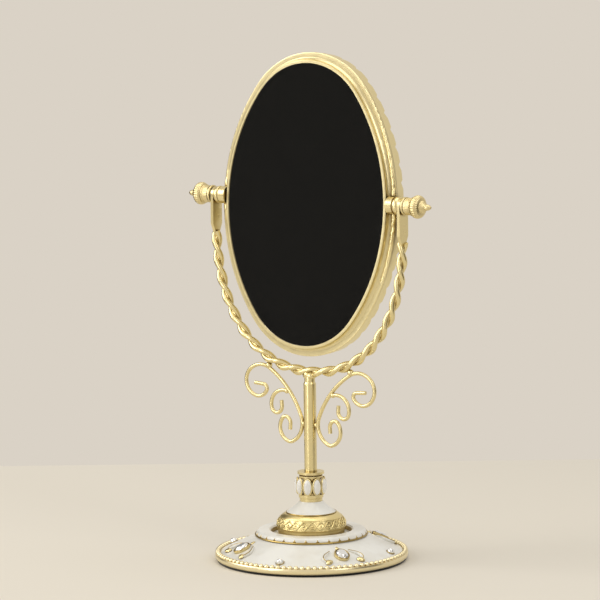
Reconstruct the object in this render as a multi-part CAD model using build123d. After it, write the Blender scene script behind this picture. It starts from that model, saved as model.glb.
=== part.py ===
from build123d import *
import math
import os

# Sizes in millimetres. X runs along the pivots, the mirror faces -Y and Z is up from the table.

# Petals, whose width sets the nine-sided collar that they stand round
PETAL_COUNT = 9
PETAL_HEIGHT = 10.3
PETAL_WIDTH = 5.1
PETAL_DEPTH = 3.3
PETAL_GAP = 0.3
PETAL_SIDE_GAP = 0.07
PETAL_TURN = -108.5
PETAL_DOME = [(0.3, 1.0), (0.65, 0.9), (0.9, 0.65), (1.0, 0.3)]

# Collar
COLLAR_FOOT_HEIGHT = 4.4
COLLAR_FOOT_STEP = 2.0
COLLAR_BEVEL = 0.4
COLLAR_SET_BACK = 0.6
COLLAR_NECK_HEIGHT = 2.4
NECK_RING_HEIGHT = 1.2
NECK_SET_BACK = 0.8
NECK_PROUD = 0.4
FOOT_PROUD = 0.3
FLANGE_PROUD = 1.0
FLANGE_HEIGHT = 1.4

# Cream cone and gold boss under the collar
CONE_FLARE = 8.3
CONE_HEIGHT = 7.4
CONE_HOLLOW = 0.5
CONE_EDGE = 0.5
BOSS_SHOULDER = 5.4
BOSS_SWELL = 0.6
BOSS_HEIGHT = 14.4
BOSS_FOOT_BAND = 3.6
BOSS_SHOULDER_HEIGHT = 4.2
BOSS_TUCK = 0.7
SHOULDER_ROUND = 2.3
SHOULDER_DROP = 1.7
BOSS_WALL = 2.6
BOSS_TOP = 3.0
BOSS_CORNER = 0.5

# Raised cream ring on the dish
WELL_WIDTH = 4.7
RING_WIDTH = 9.6
RING_HEIGHT = 3.6
RING_SKIRT = 0.9
RING_ROUND = 0.75
RING_CROWN = 3.0
RING_CHAMFER = 1.0
RING_OVERHANG = 0.6

# Base dish, the board that closes it and the table pad
SLOPE_WIDTH = 23.3
DISH_EDGE = 4.0
DISH_RISE = 10.7
DISH_WALL = 3.0
BOARD_THICK = 1.5
BOARD_LAND = 3.4
BOARD_LEDGE = 2.0
BOARD_HOLE_GAP = 2.0
PAD_THICK = 1.5
PAD_PROUD = 2.2

# Gold band with its row of beads
BEAD_RADIUS = 1.6
BEAD_GAP = 0.74
BEAD_LIFT = 0.4
BEAD_MARGIN = 0.25
BAND_HEIGHT = 3.6
BAND_ROUND = 1.0

# Tie rod with its nut, washer and ballast under the dish
ROD_RADIUS = 2.5
ROD_CLEARANCE = 0.3
ROD_IN_POST = 20.0
ROD_END = 0.6
BALLAST_GAP = 2.0
BALLAST_THICK = 3.0
WASHER_RADIUS = 7.5
WASHER_THICK = 1.2
NUT_FLATS = 8.0
NUT_HEIGHT = 4.0

# Crystals, their settings and the pearls, set in from the dish's edge
MOTIF_COUNT = 4
MOTIF_TURN = -31.0
CRYSTAL_INSET = 10.3
CRYSTAL_LENGTH = 10.0
CRYSTAL_WIDTH = 8.0
CRYSTAL_GIRDLE = 1.2
CRYSTAL_CROWN = 1.8
CRYSTAL_BEVEL = 1.7
SETTING_RIM = 0.8
SETTING_HEIGHT = 1.5
SETTING_SUNK = 0.8
PEARL_TURN = -76.0
PEARL_INSET = 4.3
PEARL_RADIUS = 2.4
PEARL_LIFT = 0.5

# Post
POST_RADIUS = 4.0
POST_LENGTH = 64.4
POST_SOCKET = 7.8
POST_NECK = 3.4
POST_NECK_HEIGHT = 3.0
POST_TAPER = 1.2

# Twisted yoke: two wires wound round half an oval, their lay in wire radii to a half turn.
# The fullness is the power of the oval: 2 is an ellipse, and more fills out its corners.
STRAND_RADIUS = 1.7
STRAND_GAP = 0.07
STRAND_LAY = 7.47
TWIST_START = 54.0
YOKE_FULLNESS = 2.2
SWING_ROOM = 10.4
AXIS_RISE = 20.0
YOKE_END_DROP = 3.5

# Flat tabs that carry the pivots
TAB_THICK = 2.0
TAB_WIDTH = 9.5
TAB_FOOT_RISE = 1.2
TAB_TIP_DROP = 7.5
TAB_TIP_WIDTH = 1.6

# Scroll wires, bent from the eye at the top to the eye at the foot: radii with their turns in degrees
SCROLL_WIRE = 1.25
SCROLL_HEADING = 184.0
SCROLL_LEAD = 7.0
TOP_EYE = 2.8
TOP_COIL = 7.8
TOP_SIDE = 10.0
TOP_CROWN = 13.2
SCROLL_BACK = 60.0
SCROLL_BACK_TURN = 36.6
SCROLL_BELLY = 13.3
FOOT_BEND = 4.5
FOOT_SIDE = 9.4
FOOT_COIL = 3.4
FOOT_EYE = 4.2
SCROLL_TAIL = 3.8
SCROLL_BENDS = [
    (TOP_EYE, 116.0), (TOP_COIL, 79.0), (TOP_SIDE, 117.5), (TOP_CROWN, 75.5), (SCROLL_BACK, SCROLL_BACK_TURN),
    (SCROLL_BELLY, 88.2), (FOOT_BEND, 42.2), (FOOT_SIDE, 107.3), (FOOT_COIL, 89.4), (FOOT_EYE, 58.5)]
WELD_RADIUS = 1.7
WELD_GAP = 0.9
YOKE_WELD_RADIUS = 2.2
YOKE_WELD_GAP = 1.27

# Small curl that springs from the middle of the scroll's back
CURL_SEAT = 1.8
CURL_HEADING = 14.0
CURL_RISE = 10.6
CURL_CROWN = 9.4
CURL_COIL = 3.9
CURL_EYE = 4.5
CURL_TAIL = 3.6
CURL_BENDS = [(CURL_RISE, -34.0), (CURL_CROWN, -88.0), (CURL_COIL, -95.0), (CURL_EYE, -72.0)]

# Mirror head: a four-arc oval, with u outward from the visible edge and y back from the pivots
REST_TILT = 3.2
OVAL_HALF_WIDTH = 60.6
OVAL_HALF_HEIGHT = 90.0
OVAL_END_RADIUS = 45.7
OVAL_DROP = 3.0
GLASS_THICK = 2.0
GLASS_EDGE = 0.8
LIP_THICK = 0.5
LIP_BEVEL = 0.4
LIP_PROUD = 0.2
LIP_EDGE = 0.1
CASE_WALL = 0.7
CASE_GAP = 0.1
CASE_BACK = 2.4
CASE_DEPTH = 5.7
COVE_WALL = 0.4
COVE_BACK = 0.3
MOUTH_FLARE = 1.0
MOUTH_STRAIGHT = 2.0
FLANGE_WIDTH = 5.2
FLANGE_FACE = 3.1
FLANGE_THICK = 1.3
FLANGE_BEAD = 0.6
FLANGE_CORNER = 0.18
FRAME_GROOVE = 1.0
GROOVE_DEPTH = 1.2
FRAME_RIM = 6.8
FRAME_BACK = 1.2
REAR_LIP = 1.0
BACK_ROUND = 0.5
BACK_DROP = 0.4
BACK_LAND = 1.6
RIM_SET_BACK = 0.5
LEAF_COUNT = 44
LEAF_THICK = 1.9
LEAF_NOTCH = 1.8
NOTCH_HALF = 3.2
NOTCH_LEAN = 1.2
NOTCH_PAST = 0.3

# Pivots, one each side
BARREL_RADIUS = 5.6
BARREL_STANDOFF = 0.8
BARREL_GAP = 0.2
STUB_RADIUS = 2.4
BUSH_SET_BACK = 0.1
BUSH_LENGTH = 4.15
STUD_RADIUS = 2.0
STUD_GRIP = 3.1
STUD_LENGTH = 19.5
RUNNING_GAP = 0.05
FRICTION_RADIUS = 4.6
FRICTION_THICK = 0.8

# Thumb-nuts, along their length
KNOB_FLANGE = 5.8
KNOB_FLANGE_LENGTH = 1.6
KNOB_STEP = 0.4
KNOB_NECK = 5.5
KNOB_NECK_LENGTH = 3.9
KNOB_RING = 6.1
KNOB_RING_LENGTH = 1.2
KNOB_BULB = 7.2
KNOB_BULB_LENGTH = 5.9
KNOB_BULB_END = 5.3
KNOB_CONE = 4.4
KNOB_CONE_SIDE = 3.7
KNOB_CONE_END = 2.4
KNOB_CONE_LENGTH = 2.4
KNOB_TIP_BASE = 2.0
KNOB_TIP_SIDE = 1.7
KNOB_TIP = 0.6
KNOB_TIP_LENGTH = 3.5
BORE_ROOM = 0.9

# Radii of the base, from the collar outward
COLLAR_CORE = (PETAL_WIDTH / 2 + PETAL_SIDE_GAP) / math.tan(math.pi / PETAL_COUNT)
COLLAR_NECK = COLLAR_CORE + NECK_PROUD
COLLAR_FOOT = COLLAR_NECK + FOOT_PROUD
COLLAR_FLANGE = COLLAR_NECK + FLANGE_PROUD
CONE_NECK = COLLAR_NECK
CONE_RADIUS = CONE_NECK + CONE_FLARE
BOSS_RADIUS = CONE_RADIUS + BOSS_SHOULDER
RING_INNER = BOSS_RADIUS + WELL_WIDTH
RING_OUTER = RING_INNER + RING_WIDTH
SEAT_RADIUS = RING_OUTER - RING_OVERHANG
DISH_RADIUS = SEAT_RADIUS + SLOPE_WIDTH
PAD_RADIUS = DISH_RADIUS + PAD_PROUD
BALLAST_RADIUS = SEAT_RADIUS - DISH_WALL - BALLAST_GAP
CRYSTAL_PLACE = DISH_RADIUS - CRYSTAL_INSET
PEARL_PLACE = DISH_RADIUS - PEARL_INSET
ROD_HOLE = ROD_RADIUS + ROD_CLEARANCE
BAND_WIDTH = 2 * (BEAD_RADIUS + BEAD_MARGIN)

# Heights of the stack, from the table up
PAD_TOP = PAD_THICK
DISH_SHOULDER = PAD_TOP + DISH_EDGE
DISH_TOP = DISH_SHOULDER + DISH_RISE
CEILING = DISH_TOP - DISH_WALL
BALLAST_FOOT = CEILING - BALLAST_THICK
WASHER_FOOT = BALLAST_FOOT - WASHER_THICK
NUT_FOOT = WASHER_FOOT - NUT_HEIGHT
BOSS_TOP_Z = DISH_TOP + BOSS_HEIGHT
CONE_TOP_Z = BOSS_TOP_Z + CONE_HEIGHT
CORE_FOOT = CONE_TOP_Z + COLLAR_FOOT_HEIGHT
CORE_TOP = CORE_FOOT + PETAL_HEIGHT + 2 * PETAL_GAP
COLLAR_TOP_Z = CORE_TOP + COLLAR_NECK_HEIGHT + FLANGE_HEIGHT
POST_FOOT = COLLAR_TOP_Z - POST_SOCKET

# Depths and widths of the head
CASE_INNER = GLASS_EDGE + CASE_GAP
CASE_OUTER = CASE_INNER + CASE_WALL
CASE_FLANGE = CASE_OUTER + FLANGE_WIDTH
RIM_OUTER = CASE_FLANGE - RIM_SET_BACK
LEAF_INNER = RIM_OUTER - LEAF_THICK
RIM_FRONT = CASE_BACK + FRAME_GROOVE
RIM_BACK = RIM_FRONT + FRAME_RIM
FRAME_END = RIM_BACK + FRAME_BACK
LIP_FRONT = CASE_BACK - CASE_DEPTH
GLASS_FRONT = LIP_FRONT + LIP_THICK
GLASS_BACK = GLASS_FRONT + GLASS_THICK
REAR_GLASS_BACK = FRAME_END - REAR_LIP
REAR_GLASS_FRONT = REAR_GLASS_BACK - GLASS_THICK

# Places along the pivots
BARREL_START = OVAL_HALF_WIDTH + CASE_OUTER + BARREL_STANDOFF
BARREL_END = OVAL_HALF_WIDTH + CASE_FLANGE + BARREL_GAP
STUD_ROOT = BARREL_END - STUD_GRIP
STUD_END = STUD_ROOT + STUD_LENGTH
TAB_INNER = BARREL_END + BUSH_LENGTH + RUNNING_GAP
TAB_OUTER = TAB_INNER + TAB_THICK
FRICTION_START = TAB_OUTER + RUNNING_GAP
KNOB_START = FRICTION_START + FRICTION_THICK + RUNNING_GAP

# Yoke: it hangs from the pivots and leaves room for the head to swing over
STRAND_ORBIT = STRAND_RADIUS + STRAND_GAP
HALF_TURN = STRAND_LAY * STRAND_RADIUS
YOKE_HALF_WIDTH = TAB_INNER + TAB_THICK / 2
YOKE_DROP = OVAL_DROP + OVAL_HALF_HEIGHT + CASE_FLANGE + SWING_ROOM - AXIS_RISE
YOKE_LOW = COLLAR_TOP_Z + POST_LENGTH
YOKE_CENTRE = YOKE_LOW + YOKE_DROP
AXIS_HEIGHT = YOKE_CENTRE + AXIS_RISE
TAB_FOOT = YOKE_CENTRE + TAB_FOOT_RISE
TAB_TIP = YOKE_CENTRE - TAB_TIP_DROP


def outline(start, *steps):
    """A closed face: each step is a corner, or a pair of a point on an arc and the arc's end."""
    edges = []
    here = start
    for step in steps:
        if isinstance(step[0], tuple):
            end = step[1]
            edges.append(ThreePointArc(here, step[0], end))
        else:
            end = step
            edges.append(Line(here, end))
        here = end
    edges.append(Line(here, start))
    return make_face(edges)


def turned(face):
    """A solid turned about Z from a face drawn as radius and height."""
    return revolve(Plane.XZ * face, Axis.Z)


def drum(radius, foot, top, bore=0.0):
    """A plain disc or tube about Z."""
    solid = Pos(0, 0, foot) * Cylinder(radius, top - foot, align=(Align.CENTER, Align.CENTER, Align.MIN))
    if bore:
        solid -= Pos(0, 0, foot) * Cylinder(bore, top - foot, align=(Align.CENTER, Align.CENTER, Align.MIN))
    return solid


# Slope of the dish, from its shoulder up to the seat of the ring
DISH_CHORD = math.hypot(DISH_RADIUS - SEAT_RADIUS, DISH_RISE)
SLOPE_OUT = DISH_RISE / DISH_CHORD
SLOPE_UP = (DISH_RADIUS - SEAT_RADIUS) / DISH_CHORD


def on_dish(radius, angle):
    """A plane on the dish at a radius and an angle: x runs downhill, z stands off the surface."""
    height = DISH_SHOULDER + DISH_RISE * (DISH_RADIUS - radius) / (DISH_RADIUS - SEAT_RADIUS)
    out = Vector(math.cos(math.radians(angle)), math.sin(math.radians(angle)), 0)
    normal = out * SLOPE_OUT + Vector(0, 0, SLOPE_UP)
    downhill = out * SLOPE_UP - Vector(0, 0, SLOPE_OUT)
    return Plane(origin=out * radius + Vector(0, 0, height), x_dir=downhill, z_dir=normal)


def largest(shape):
    """The main solid of a cut wire, without the crumbs at its ends."""
    return max(shape.solids(), key=lambda solid: solid.volume)


def around(count, turn):
    """Angles of a ring of copies."""
    return [turn + 360.0 * k / count for k in range(count)]


# Crystals and their settings

def crystal():
    girdle = Ellipse(CRYSTAL_LENGTH / 2, CRYSTAL_WIDTH / 2)
    table = Ellipse(CRYSTAL_LENGTH / 2 - CRYSTAL_BEVEL, CRYSTAL_WIDTH / 2 - CRYSTAL_BEVEL)
    crown = loft([Pos(0, 0, CRYSTAL_GIRDLE) * girdle, Pos(0, 0, CRYSTAL_GIRDLE + CRYSTAL_CROWN) * table])
    return extrude(girdle, CRYSTAL_GIRDLE) + crown


def setting():
    half_length = CRYSTAL_LENGTH / 2 + SETTING_RIM
    half_width = CRYSTAL_WIDTH / 2 + SETTING_RIM
    cup = Pos(0, 0, -SETTING_SUNK) * extrude(Ellipse(half_length, half_width), SETTING_SUNK + SETTING_HEIGHT)
    seat = Pos(0, 0, SETTING_HEIGHT - CRYSTAL_GIRDLE)
    return cup - seat * extrude(Ellipse(CRYSTAL_LENGTH / 2, CRYSTAL_WIDTH / 2), CRYSTAL_GIRDLE)


motif_angles = around(MOTIF_COUNT, MOTIF_TURN)
crystal_settings = []
crystals = []
for angle in motif_angles:
    place = on_dish(CRYSTAL_PLACE, angle)
    crystal_settings.append(place * setting())
    crystals.append(place * Pos(0, 0, SETTING_HEIGHT - CRYSTAL_GIRDLE) * crystal())

dish_pearls = []
for angle in around(MOTIF_COUNT, PEARL_TURN):
    dish_pearls.append(on_dish(PEARL_PLACE, angle) * Pos(0, 0, PEARL_LIFT) * Sphere(PEARL_RADIUS))


# Base dish: a shell with pockets for what is set in it
hollow_foot = PAD_TOP + BOARD_THICK
board_radius = DISH_RADIUS - BOARD_LAND
hollow_radius = board_radius - BOARD_LEDGE
base_dish = turned(outline(
    (ROD_HOLE, DISH_TOP), (SEAT_RADIUS, DISH_TOP), (DISH_RADIUS, DISH_SHOULDER),
    (DISH_RADIUS, PAD_TOP), (board_radius, PAD_TOP), (board_radius, hollow_foot),
    (hollow_radius, hollow_foot), (SEAT_RADIUS - DISH_WALL, CEILING), (ROD_HOLE, CEILING)))
for piece in crystal_settings + dish_pearls:
    base_dish -= piece

table_pad = drum(PAD_RADIUS, 0, PAD_TOP)
base_board = drum(board_radius, PAD_TOP, hollow_foot, NUT_FLATS / 2 + BOARD_HOLE_GAP)

# Gold band with beads along its flat ledge
band_outer = DISH_RADIUS + BAND_WIDTH
band_top = PAD_TOP + BAND_HEIGHT
rim_band = turned(outline(
    (DISH_RADIUS, PAD_TOP), (band_outer - BAND_ROUND, PAD_TOP),
    ((band_outer, PAD_TOP + BAND_HEIGHT / 2), (band_outer - BAND_ROUND / 3, band_top)),
    (DISH_RADIUS, band_top)))
bead_place = DISH_RADIUS + BAND_WIDTH / 2
bead_count = round(2 * math.pi * bead_place / (2 * BEAD_RADIUS + BEAD_GAP))
rim_band += [Rot(0, 0, angle) * Pos(bead_place, 0, band_top + BEAD_LIFT) * Sphere(BEAD_RADIUS)
             for angle in around(bead_count, 0.0)]

# Raised ring
ring_top = DISH_TOP + RING_HEIGHT
raised_ring = turned(outline(
    (RING_INNER, DISH_TOP), (SEAT_RADIUS, DISH_TOP), (RING_OUTER, DISH_TOP + RING_SKIRT),
    ((RING_OUTER - RING_ROUND, ring_top - RING_SKIRT), (RING_OUTER - RING_CROWN, ring_top)),
    (RING_INNER + RING_CHAMFER, ring_top), (RING_INNER, ring_top - RING_CHAMFER)))

# Gold boss: hollow, with a swelling band and a shoulder up to the cone
foot_band = DISH_TOP + BOSS_FOOT_BAND
shoulder = BOSS_TOP_Z - BOSS_SHOULDER_HEIGHT
boss = turned(outline(
    (BOSS_RADIUS - BOSS_WALL, DISH_TOP), (BOSS_RADIUS, DISH_TOP), (BOSS_RADIUS, foot_band),
    ((BOSS_RADIUS + BOSS_SWELL, (foot_band + shoulder) / 2), (BOSS_RADIUS - BOSS_TUCK, shoulder)),
    ((BOSS_RADIUS - SHOULDER_ROUND, BOSS_TOP_Z - SHOULDER_DROP), (CONE_RADIUS, BOSS_TOP_Z)),
    (ROD_HOLE, BOSS_TOP_Z), (ROD_HOLE, BOSS_TOP_Z - BOSS_TOP),
    (CONE_RADIUS - BOSS_CORNER, BOSS_TOP_Z - BOSS_TOP), (BOSS_RADIUS - BOSS_WALL, shoulder - BOSS_CORNER)))

# Cream cone with a hollowed flank
cone_waist = ((CONE_RADIUS + CONE_NECK) / 2 - CONE_HOLLOW, BOSS_TOP_Z + CONE_HEIGHT / 2)
cone = turned(outline(
    (ROD_HOLE, BOSS_TOP_Z), (CONE_RADIUS, BOSS_TOP_Z), (CONE_RADIUS, BOSS_TOP_Z + CONE_EDGE),
    (cone_waist, (CONE_NECK, CONE_TOP_Z)), (ROD_HOLE, CONE_TOP_Z)))

# Collar: a foot ring, a nine-sided core with a flat for each petal, a neck and a flange
foot_step = CONE_TOP_Z + COLLAR_FOOT_STEP
neck_ring = CORE_TOP + NECK_RING_HEIGHT
flange_foot = COLLAR_TOP_Z - FLANGE_HEIGHT
collar_foot = turned(outline(
    (ROD_HOLE, CONE_TOP_Z), (COLLAR_FOOT - COLLAR_SET_BACK, CONE_TOP_Z),
    (COLLAR_FOOT - COLLAR_SET_BACK, foot_step), (COLLAR_FOOT, foot_step + COLLAR_BEVEL),
    (COLLAR_FOOT, CORE_FOOT), (ROD_HOLE, CORE_FOOT)))
collar_core = Pos(0, 0, CORE_FOOT) * Rot(0, 0, PETAL_TURN + 180.0 / PETAL_COUNT) * extrude(
    RegularPolygon(COLLAR_CORE, PETAL_COUNT, major_radius=False), CORE_TOP - CORE_FOOT)
collar_head = turned(outline(
    (ROD_HOLE, CORE_TOP), (COLLAR_NECK, CORE_TOP), (COLLAR_NECK, neck_ring),
    (COLLAR_NECK - NECK_SET_BACK, neck_ring + COLLAR_BEVEL),
    (COLLAR_NECK - NECK_SET_BACK, flange_foot - COLLAR_BEVEL), (COLLAR_FLANGE, flange_foot),
    (COLLAR_FLANGE, COLLAR_TOP_Z), (ROD_HOLE, COLLAR_TOP_Z)))
collar = collar_foot + collar_core + collar_head
collar -= drum(ROD_HOLE, CONE_TOP_Z, COLLAR_TOP_Z)
collar -= drum(POST_RADIUS, POST_FOOT, COLLAR_TOP_Z)


def petal():
    """An oval cabochon standing on the YZ plane, its dome toward +X."""
    def oval(lift, share):
        return Plane.YZ.offset(PETAL_DEPTH * lift) * Ellipse(PETAL_WIDTH / 2 * share, PETAL_HEIGHT / 2 * share)

    wall_top = PETAL_DOME[0][0]
    return extrude(oval(0, 1), PETAL_DEPTH * wall_top) + loft([oval(lift, share) for lift, share in PETAL_DOME])


petal_middle = (CORE_FOOT + CORE_TOP) / 2
collar_petals = [Rot(0, 0, angle) * Pos(COLLAR_CORE, 0, petal_middle) * petal()
                 for angle in around(PETAL_COUNT, PETAL_TURN)]

# Tie rod, nut, washer and ballast clamp the stack to the post
ballast_disc = drum(BALLAST_RADIUS, BALLAST_FOOT, CEILING, ROD_HOLE)
tie_washer = drum(WASHER_RADIUS, WASHER_FOOT, BALLAST_FOOT, ROD_HOLE)
tie_nut = Pos(0, 0, NUT_FOOT) * extrude(RegularPolygon(NUT_FLATS / 2, 6, major_radius=False), NUT_HEIGHT)
tie_nut -= drum(ROD_RADIUS, NUT_FOOT, WASHER_FOOT)
tie_rod = drum(ROD_RADIUS, NUT_FOOT - ROD_END, POST_FOOT + ROD_IN_POST)


# Twisted yoke

def yoke_samples(count):
    """Points and lengths along the lower half of the yoke's oval, from right to left."""
    first = math.atan2(YOKE_END_DROP, YOKE_HALF_WIDTH)
    samples = []
    length = 0.0
    for k in range(count + 1):
        t = first + (math.pi - 2 * first) * k / count
        across = math.cos(t) / YOKE_HALF_WIDTH
        down = math.sin(t) / YOKE_DROP
        reach = (abs(across) ** YOKE_FULLNESS + down ** YOKE_FULLNESS) ** (-1 / YOKE_FULLNESS)
        point = Vector(reach * math.cos(t), 0, YOKE_CENTRE - reach * math.sin(t))
        fall = math.copysign(abs(across) ** (YOKE_FULLNESS - 1), across) / YOKE_HALF_WIDTH
        tangent = Vector(-down ** (YOKE_FULLNESS - 1) / YOKE_DROP, 0, -fall).normalized()
        if samples:
            length += (point - samples[-1][1]).length
        samples.append((length, point, tangent))
    return samples


def strand_point(sample, phase):
    """A place on a strand: it winds left-handed round the yoke's centre line."""
    length, point, tangent = sample
    turn = math.radians(TWIST_START + phase) - math.pi * length / HALF_TURN
    back = Vector(0, 1, 0)
    inward = tangent.cross(back)
    return point + (back * math.cos(turn) + inward * math.sin(turn)) * STRAND_ORBIT


def biarc(start, start_way, end, end_way):
    """Two tangent arcs from one place and direction to another."""
    gap = end - start
    ways = start_way + end_way
    a = ways.dot(ways) - 4.0
    b = -2.0 * gap.dot(ways)
    c = gap.dot(gap)
    reach = (-b - math.sqrt(b * b - 4.0 * a * c)) / (2.0 * a)
    joint = (start + start_way * reach + end - end_way * reach) * 0.5
    middle_way = (end - end_way * reach - start - start_way * reach).normalized()
    return [TangentArc(start, joint, tangent=start_way), TangentArc(joint, end, tangent=middle_way)]


def yoke_strand(phase):
    """One wire of the pair, swept on a pair of arcs to each quarter turn."""
    spans_per_half_turn = 2
    samples_per_span = 60
    total = yoke_samples(2000)[-1][0]
    count = round(total / HALF_TURN * spans_per_half_turn)
    samples = yoke_samples(count * samples_per_span)
    places = []
    for k in range(count + 1):
        near = k * samples_per_span
        before = strand_point(samples[max(near - 1, 0)], phase)
        after = strand_point(samples[min(near + 1, count * samples_per_span)], phase)
        places.append((strand_point(samples[near], phase), (after - before).normalized()))
    edges = []
    for (start, start_way), (end, end_way) in zip(places, places[1:]):
        edges.extend(biarc(start, start_way, end, end_way))
    first, way = places[0]
    return sweep(Plane(origin=first, z_dir=way) * Circle(STRAND_RADIUS), path=Wire(edges))


def yoke_tab():
    """The right tab: a flat bar round the pivot that tapers between the strands."""
    half = TAB_WIDTH / 2
    face = outline(
        (-half, AXIS_HEIGHT), ((0, AXIS_HEIGHT + half), (half, AXIS_HEIGHT)), (half, TAB_FOOT),
        (TAB_TIP_WIDTH / 2, TAB_TIP), (-TAB_TIP_WIDTH / 2, TAB_TIP), (-half, TAB_FOOT))
    face -= Pos(0, AXIS_HEIGHT) * Circle(STUD_RADIUS + RUNNING_GAP)
    return extrude(Plane.YZ.offset(TAB_INNER) * face, TAB_THICK)


right_tab = yoke_tab()
left_tab = mirror(right_tab, about=Plane.YZ)
yoke_strand_a = largest(yoke_strand(0.0) - right_tab - left_tab)
yoke_strand_b = largest(yoke_strand(180.0) - right_tab - left_tab)

# Post: tapped for the rod below, its neck saddled under the strands
neck_top = YOKE_LOW - STRAND_ORBIT
neck_foot = neck_top - STRAND_RADIUS - POST_NECK_HEIGHT
post = turned(outline(
    (0, POST_FOOT), (POST_RADIUS, POST_FOOT), (POST_RADIUS, neck_foot - POST_TAPER),
    (POST_NECK, neck_foot), (POST_NECK, neck_top), (0, neck_top)))
post = post - drum(ROD_RADIUS, POST_FOOT, POST_FOOT + ROD_IN_POST) - yoke_strand_a - yoke_strand_b


# Scroll wires in the plane of the yoke

def way(angle):
    """A direction in the plane of the yoke."""
    return Vector(math.cos(math.radians(angle)), 0, math.sin(math.radians(angle)))


def bent_path(start, heading, lead, bends, tail):
    """The edges of a wire that runs straight, turns through its bends and runs straight again."""
    edges = []
    here = start
    if lead:
        edges.append(Line(here, here + way(heading) * lead))
        here = here + way(heading) * lead
    for radius, turn in bends:
        side = math.copysign(90.0, turn)
        centre = here + way(heading + side) * radius
        middle = centre - way(heading + turn / 2 + side) * radius
        end = centre - way(heading + turn + side) * radius
        edges.append(ThreePointArc(here, middle, end))
        here = end
        heading += turn
    edges.append(Line(here, here + way(heading) * tail))
    return edges


def round_wire(edges):
    """A round wire along a path."""
    return sweep(Plane(origin=edges[0] @ 0, z_dir=edges[0] % 0) * Circle(SCROLL_WIRE), path=Wire(edges))


def under_yoke(point):
    """How far a point lies below the yoke's centre line, and the direction up to it."""
    share = abs(point.X) / YOKE_HALF_WIDTH
    reach = (1 - share ** YOKE_FULLNESS) ** (1 / YOKE_FULLNESS)
    slope = math.copysign((share / reach) ** (YOKE_FULLNESS - 1), point.X) * YOKE_DROP / YOKE_HALF_WIDTH
    upward = Vector(-slope, 0, 1).normalized()
    return (YOKE_CENTRE - YOKE_DROP * reach - point.Z) * upward.Z, upward


# The scroll stands a weld's width off the post, and as close below the yoke
loose_path = bent_path(Vector(0, 0, 0), SCROLL_HEADING, SCROLL_LEAD, SCROLL_BENDS, SCROLL_TAIL)
to_post = POST_RADIUS + WELD_GAP + SCROLL_WIRE - Wire(loose_path).bounding_box().min.X
stations = [edge @ (k / 40) + Vector(to_post, 0, 0) for edge in loose_path for k in range(41)]
below_yoke = STRAND_ORBIT + STRAND_RADIUS + YOKE_WELD_GAP + SCROLL_WIRE
rises = []
for point in stations:
    depth, upward = under_yoke(point)
    rises.append((depth - below_yoke) / upward.Z)
to_yoke = min(rises)
scroll_path = [Pos(to_post, 0, to_yoke) * edge for edge in loose_path]
post_point = min(stations, key=lambda point: point.X) + Vector(0, 0, to_yoke)
yoke_point = stations[rises.index(to_yoke)] + Vector(0, 0, to_yoke)
post_weld = Pos(post_point - Vector(SCROLL_WIRE, 0, 0)) * Sphere(WELD_RADIUS)
yoke_weld = Pos(yoke_point + under_yoke(yoke_point)[1] * SCROLL_WIRE) * Sphere(YOKE_WELD_RADIUS)
scroll = round_wire(scroll_path) + post_weld + yoke_weld
right_scroll = scroll - post - yoke_strand_a - yoke_strand_b
left_scroll = mirror(scroll, about=Plane.YZ) - post - yoke_strand_a - yoke_strand_b

# The curl is welded to the inside of the scroll's back
scroll_back = scroll_path[1 + SCROLL_BENDS.index((SCROLL_BACK, SCROLL_BACK_TURN))]
back_way = scroll_back % 0.5
curl_start = scroll_back @ 0.5 + Vector(-back_way.Z, 0, back_way.X) * CURL_SEAT
curl = round_wire(bent_path(curl_start, CURL_HEADING, 0.0, CURL_BENDS, CURL_TAIL))
curl += Pos(curl_start) * Sphere(WELD_RADIUS)
right_curl = curl - right_scroll
left_curl = mirror(right_curl, about=Plane.YZ)

# Oval of the mirror head: a side arc and an end arc, each twice
OVAL_SIDE_RADIUS = ((OVAL_HALF_HEIGHT - OVAL_END_RADIUS) ** 2 + OVAL_HALF_WIDTH ** 2 - OVAL_END_RADIUS ** 2) / (
    2 * (OVAL_HALF_WIDTH - OVAL_END_RADIUS))
SIDE_CENTRE = OVAL_SIDE_RADIUS - OVAL_HALF_WIDTH
END_CENTRE = OVAL_HALF_HEIGHT - OVAL_END_RADIUS
JOIN_ANGLE = math.degrees(math.atan2(END_CENTRE, SIDE_CENTRE))
OVAL_ARCS = [
    ((-SIDE_CENTRE, 0), OVAL_SIDE_RADIUS, -JOIN_ANGLE, JOIN_ANGLE),
    ((0, END_CENTRE), OVAL_END_RADIUS, JOIN_ANGLE, 180 - JOIN_ANGLE),
    ((SIDE_CENTRE, 0), OVAL_SIDE_RADIUS, 180 - JOIN_ANGLE, 180 + JOIN_ANGLE),
    ((0, -END_CENTRE), OVAL_END_RADIUS, 180 + JOIN_ANGLE, 360 - JOIN_ANGLE)]


def oval_face(u):
    """The oval, grown outward by u."""
    return make_face([CenterArc(centre, radius + u, first, last - first)
                      for centre, radius, first, last in OVAL_ARCS])


def oval_slab(face, front, back):
    """A face of the head's plane made solid between two depths."""
    return extrude(Plane.XZ.offset(-back) * Pos(0, -OVAL_DROP) * face, back - front)


def oval_ring(section):
    """A ring with one section, drawn as u and depth, all round the oval."""
    ring = []
    for centre, radius, first, last in OVAL_ARCS:
        strip = revolve(Pos(radius, 0, 0) * section, Axis((0, 0, 0), (0, -1, 0)), last - first)
        ring.append(Pos(centre[0], 0, centre[1] - OVAL_DROP) * Rot(0, -first, 0) * strip)
    return ring[0] + ring[1:]


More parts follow.
